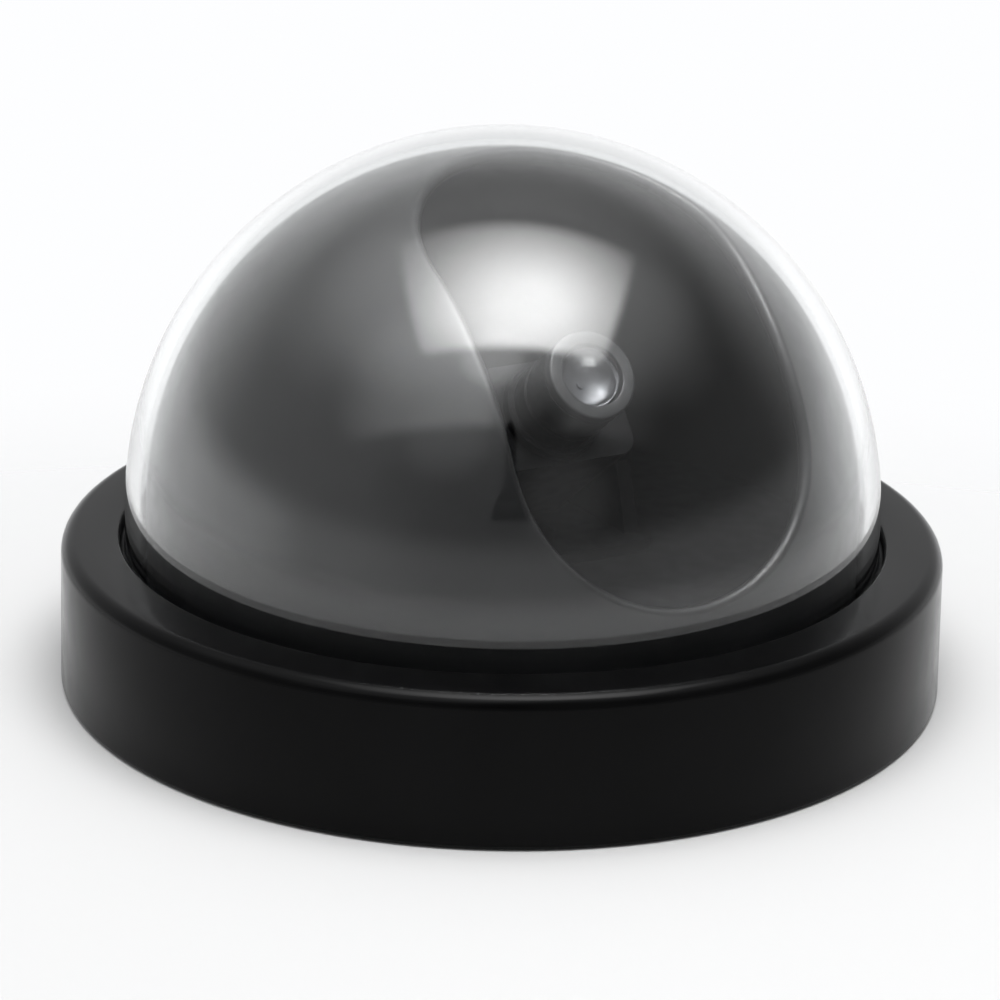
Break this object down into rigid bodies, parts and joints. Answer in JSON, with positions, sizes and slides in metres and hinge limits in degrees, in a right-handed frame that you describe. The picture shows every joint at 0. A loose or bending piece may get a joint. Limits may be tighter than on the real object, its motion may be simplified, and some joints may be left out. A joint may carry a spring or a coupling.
{
  "type": "imitation dome cctv camera",
  "caption": "Low round black base with a clear hemispherical dome over a slotted dark liner that pans, and a camera unit with a clear indicator light that tilts in the slot.",
  "frame": {"origin": "centre of the flat back face that lies against the ceiling or wall", "axes": "+Z out of the ceiling through the top of the dome, -Y the front, +X to the right of a viewer who looks at the front; the liner rests turned 30 degrees towards +X"},
  "size_m": [0.12, 0.12, 0.0745],
  "materials": {
    "satin_black_plastic": "satin injection-moulded black ABS with a faint grain",
    "gloss_black_plastic": "polished black plastic",
    "matt_black_plastic": "matt black plastic",
    "clear_plastic": "clear polished acrylic, about 2 mm thick",
    "clear_epoxy": "water-clear epoxy",
    "zinc_steel": "bright zinc-plated steel",
    "nickel": "nickel-plated spring steel",
    "white_nylon": "natural nylon",
    "cell_jacket": "printed cell jacket, no lettering",
    "board": "green solder mask on fibreglass board",
    "chip_black": "moulded epoxy package",
    "capacitor_sleeve": "blue shrink sleeve",
    "resistor_body": "tan lacquer",
    "red_insulation": "red PVC insulation",
    "black_insulation": "black PVC insulation",
    "black_rubber": "soft black rubber"
  },
  "bodies": {
    "base": {"base_plate": "satin_black_plastic", "battery_cell_1": "cell_jacket", "battery_cell_2": "cell_jacket", "bridge_contact": "nickel", "positive_contact": "nickel", "negative_contact": "nickel", "flasher_board": "board", "timer_chip": "chip_black", "capacitor": "capacitor_sleeve", "resistor": "resistor_body", "switch_body": "matt_black_plastic", "board_screw_1": "zinc_steel", "board_screw_2": "zinc_steel", "battery_lead_red": "red_insulation", "battery_lead_black": "black_insulation", "led_cable": "black_insulation", "pivot_bush": "white_nylon", "thrust_washer": "white_nylon"},
    "cover": {"outer_ring": "satin_black_plastic", "clear_dome": "clear_plastic", "dome_clamp_ring": "matt_black_plastic", "clamp_screw_1": "zinc_steel", "clamp_screw_2": "zinc_steel", "clamp_screw_3": "zinc_steel", "clamp_screw_4": "zinc_steel"},
    "liner": {"liner": "gloss_black_plastic", "turntable": "matt_black_plastic", "yoke": "matt_black_plastic", "liner_screw_1": "zinc_steel", "liner_screw_2": "zinc_steel", "liner_screw_3": "zinc_steel", "yoke_screw_1": "zinc_steel", "yoke_screw_2": "zinc_steel"},
    "camera": {"camera_body": "matt_black_plastic", "rear_cover": "matt_black_plastic", "lens_barrel": "matt_black_plastic", "lens_bezel": "gloss_black_plastic", "clear_led": "clear_epoxy", "led_board": "board", "led_lead_anode": "nickel", "led_lead_cathode": "nickel", "cable_grommet": "black_rubber", "rear_screw_1": "zinc_steel", "rear_screw_2": "zinc_steel", "tilt_washer_right": "white_nylon", "tilt_washer_left": "white_nylon", "tilt_screw_right": "zinc_steel", "tilt_screw_left": "zinc_steel"},
    "battery_door": {"battery_door": "satin_black_plastic"},
    "switch_slider": {"switch_slider": "white_nylon"}
  },
  "joints": [
    {"name": "cover_twist", "type": "hinge", "parent": "base", "child": "cover", "pos_m": [0, 0, 0], "axis": [0, 0, 1], "range_deg": [0, 18]},
    {"name": "liner_pan", "type": "hinge", "parent": "base", "child": "liner", "pos_m": [0, 0, 0], "axis": [0, 0, 1], "range_deg": [-165, 165]},
    {"name": "lens_tilt", "type": "hinge", "parent": "liner", "child": "camera", "pos_m": [0, 0, 0.0305], "axis": [-0.866, -0.5, 0], "range_deg": [-33, 42]},
    {"name": "battery_door_hinge", "type": "hinge", "parent": "base", "child": "battery_door", "pos_m": [0, 0.03405, 0.00115], "axis": [1, 0, 0], "range_deg": [0, 100]},
    {"name": "switch_slide", "type": "slide", "parent": "base", "child": "switch_slider", "axis": [1, 0, 0], "range_m": [0, 0.002]}
  ]
}
